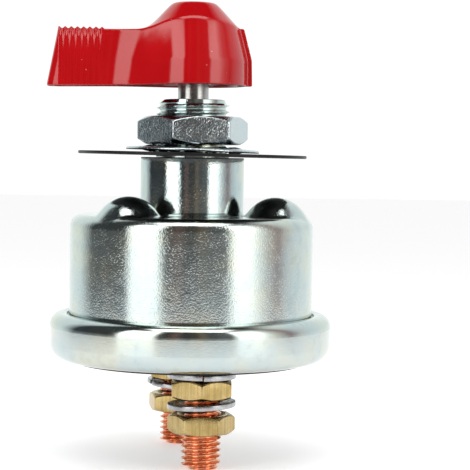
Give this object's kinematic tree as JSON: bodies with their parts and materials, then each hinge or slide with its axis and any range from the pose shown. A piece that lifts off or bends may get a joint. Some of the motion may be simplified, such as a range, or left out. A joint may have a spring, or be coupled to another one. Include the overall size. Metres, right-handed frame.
{
  "type": "battery switch",
  "caption": "Round plated-steel master switch with a threaded panel stem, a turning lever on top and two stud terminals underneath.",
  "frame": {"origin": "on the stem's axis, in the plane of the stem's shoulder, where the panel is clamped", "axes": "+Z along the stem towards the lever, -X towards the lever's grip when the switch is off, -Y towards the front terminal"},
  "size_m": [0.0743, 0.073, 0.1175],
  "materials": {
    "zinc_plate": "bright zinc plate on steel",
    "spring_steel": "plain steel",
    "black_plate": "black coated sheet",
    "red_paint": "glossy red coating on a die casting",
    "brass": "machined brass",
    "copper": "bright copper",
    "phenolic": "moulded phenolic",
    "rubber": "black rubber",
    "fibre": "red vulcanised fibre"
  },
  "bodies": {
    "housing": {"housing_can": "zinc_plate", "mounting_stem": "zinc_plate", "face_plate": "black_plate", "stem_lock_washer": "zinc_plate", "stem_nut": "zinc_plate", "insulating_base": "phenolic", "base_gasket": "rubber", "arc_liner": "fibre", "cam_ring": "phenolic", "terminal_stud_front": "copper", "terminal_stud_rear": "copper", "stud_seal_front": "rubber", "stud_seal_rear": "rubber", "spring_washer_upper_front": "spring_steel", "spring_washer_upper_rear": "spring_steel", "spring_washer_lower_front": "spring_steel", "spring_washer_lower_rear": "spring_steel", "terminal_nut_upper_front": "brass", "terminal_nut_upper_rear": "brass", "terminal_nut_lower_front": "brass", "terminal_nut_lower_rear": "brass", "return_spring": "spring_steel"},
    "carriage": {"contact_bridge": "copper", "contact_pad_front": "brass", "contact_pad_rear": "brass", "bridge_insulator_upper": "fibre", "bridge_insulator_lower": "fibre", "spring_seat": "spring_steel", "pressure_disc_spring": "spring_steel"},
    "rotor": {"shaft": "spring_steel", "drive_pin": "spring_steel", "shaft_seal": "rubber", "thrust_washer": "spring_steel", "retaining_clip": "spring_steel", "lever": "red_paint", "lever_set_screw": "spring_steel"}
  },
  "joints": [
    {"name": "contact_lift", "type": "slide", "parent": "housing", "child": "carriage", "axis": [0, 0, 1], "range_m": [-0.003, 0], "deforming": ["return_spring"]},
    {"name": "lever_turn", "type": "hinge", "parent": "carriage", "child": "rotor", "pos_m": [0, 0, 0], "axis": [0, 0, 1], "range_deg": [-90, 0]}
  ],
  "couplings": [
    {"joint": "lever_turn", "follows": "contact_lift", "rad_per_m": 523.6}
  ]
}
